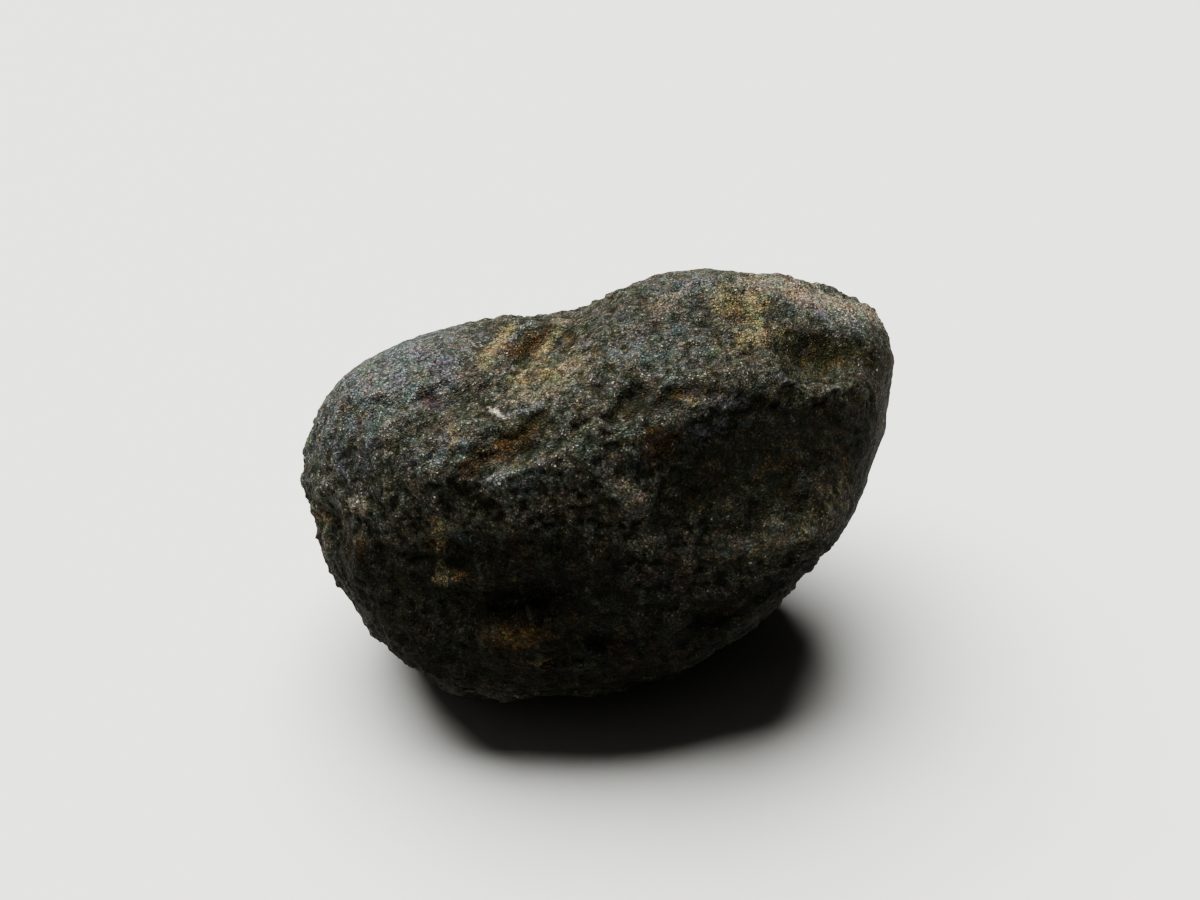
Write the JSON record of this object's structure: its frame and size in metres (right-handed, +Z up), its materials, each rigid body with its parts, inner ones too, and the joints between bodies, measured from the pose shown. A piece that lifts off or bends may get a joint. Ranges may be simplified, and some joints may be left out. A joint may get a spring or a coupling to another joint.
{
  "type": "saffordite nodule",
  "caption": "Small weathered nodule of dark natural glass, a rounded wedge with a saddle, pits and hollows, resting on a worn flat.",
  "frame": {"origin": "middle of the stone's bounding box, on the surface it rests on", "axes": "+X along the stone's length, towards its higher end; +Y away from the side with the deep hollows; +Z up"},
  "size_m": [0.025, 0.0174, 0.0169],
  "materials": {
    "stone": "frosted, finely pitted dark glass with ochre and rust stains in its hollows"
  },
  "bodies": {
    "root": {"nodule": "stone"}
  },
  "joints": []
}
